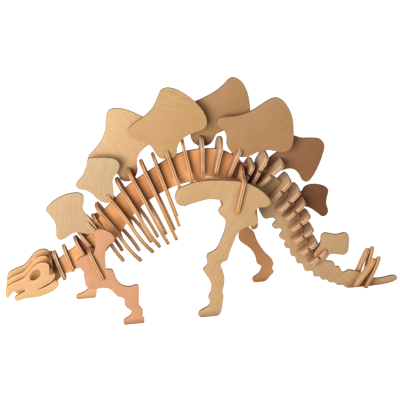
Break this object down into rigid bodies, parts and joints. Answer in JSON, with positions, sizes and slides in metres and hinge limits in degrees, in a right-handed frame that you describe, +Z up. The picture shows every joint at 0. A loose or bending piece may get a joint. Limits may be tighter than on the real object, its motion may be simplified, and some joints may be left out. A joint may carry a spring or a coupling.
{
  "type": "wooden dinosaur skeleton puzzle",
  "caption": "Free-standing plated dinosaur skeleton slotted together from flat plywood pieces, with ribs, legs, tail spikes and lift-off back plates.",
  "frame": {"origin": "centre of the model's bounding box on the ground it stands on", "axes": "+X along the body from the head to the tail tip, -Y towards the dinosaur's left side, +Z up from the feet"},
  "size_m": [0.3796, 0.0846, 0.2195],
  "materials": {
    "spine_sheet": "raw",
    "rib_sheet": "raw",
    "leg_sheet": "raw",
    "plate_sheet": "raw"
  },
  "bodies": {
    "skeleton": {"spine": "spine_sheet", "tail": "spine_sheet", "skull_left": "plate_sheet", "skull_right": "plate_sheet", "skull_bar": "leg_sheet", "neck_vertebra_1": "rib_sheet", "neck_vertebra_2": "rib_sheet", "neck_vertebra_3": "rib_sheet", "neck_vertebra_4": "rib_sheet", "neck_vertebra_5": "rib_sheet", "rib_1": "rib_sheet", "rib_2": "rib_sheet", "rib_3": "rib_sheet", "rib_4": "rib_sheet", "rib_5": "rib_sheet", "rib_6": "rib_sheet", "rib_7": "rib_sheet", "rib_8": "rib_sheet", "rib_9": "rib_sheet", "lumbar_vertebra_1": "leg_sheet", "lumbar_vertebra_2": "leg_sheet", "lumbar_vertebra_3": "leg_sheet", "pelvis_strip_left": "leg_sheet", "pelvis_strip_right": "leg_sheet", "shoulder_bar": "leg_sheet", "hip_bar": "leg_sheet", "front_leg_left": "leg_sheet", "front_leg_right": "leg_sheet", "rear_leg_left": "leg_sheet", "rear_leg_right": "leg_sheet", "tail_vertebra_1": "rib_sheet", "tail_vertebra_2": "rib_sheet", "tail_vertebra_3": "rib_sheet", "tail_vertebra_4": "rib_sheet", "tail_vertebra_5": "rib_sheet", "tail_vertebra_6": "rib_sheet", "tail_vertebra_7": "rib_sheet", "tail_vertebra_8": "rib_sheet", "tail_vertebra_9": "rib_sheet", "tail_vertebra_10": "rib_sheet", "tail_spikes_front": "rib_sheet", "tail_spikes_rear": "rib_sheet"},
    "plate 1": {"back_plate_1": "plate_sheet"},
    "plate 2": {"back_plate_2": "plate_sheet"},
    "plate 3": {"back_plate_3": "plate_sheet"},
    "plate 4": {"back_plate_4": "plate_sheet"},
    "plate 5": {"back_plate_5": "plate_sheet"},
    "plate 6": {"back_plate_6": "plate_sheet"},
    "plate 7": {"back_plate_7": "plate_sheet"},
    "plate 8": {"back_plate_8": "plate_sheet"},
    "plate 9": {"back_plate_9": "plate_sheet"}
  },
  "joints": [
    {"name": "back plate 1 lifts out", "type": "slide", "parent": "skeleton", "child": "plate 1", "axis": [-0.6018, 0, 0.7986], "range_m": [0, 0.02]},
    {"name": "back plate 2 lifts out", "type": "slide", "parent": "skeleton", "child": "plate 2", "axis": [-0.5446, 0, 0.8387], "range_m": [0, 0.02]},
    {"name": "back plate 3 lifts out", "type": "slide", "parent": "skeleton", "child": "plate 3", "axis": [-0.3987, 0, 0.9171], "range_m": [0, 0.02]},
    {"name": "back plate 4 lifts out", "type": "slide", "parent": "skeleton", "child": "plate 4", "axis": [-0.2588, 0, 0.9659], "range_m": [0, 0.02]},
    {"name": "back plate 5 lifts out", "type": "slide", "parent": "skeleton", "child": "plate 5", "axis": [0.0349, 0, 0.9994], "range_m": [0, 0.02]},
    {"name": "back plate 6 lifts out", "type": "slide", "parent": "skeleton", "child": "plate 6", "axis": [0.3987, 0, 0.9171], "range_m": [0, 0.02]},
    {"name": "back plate 7 lifts out", "type": "slide", "parent": "skeleton", "child": "plate 7", "axis": [0.788, 0, 0.6157], "range_m": [0, 0.02]},
    {"name": "back plate 8 lifts out", "type": "slide", "parent": "skeleton", "child": "plate 8", "axis": [0.788, 0, 0.6157], "range_m": [0, 0.02]},
    {"name": "back plate 9 lifts out", "type": "slide", "parent": "skeleton", "child": "plate 9", "axis": [0.766, 0, 0.6428], "range_m": [0, 0.02]}
  ]
}
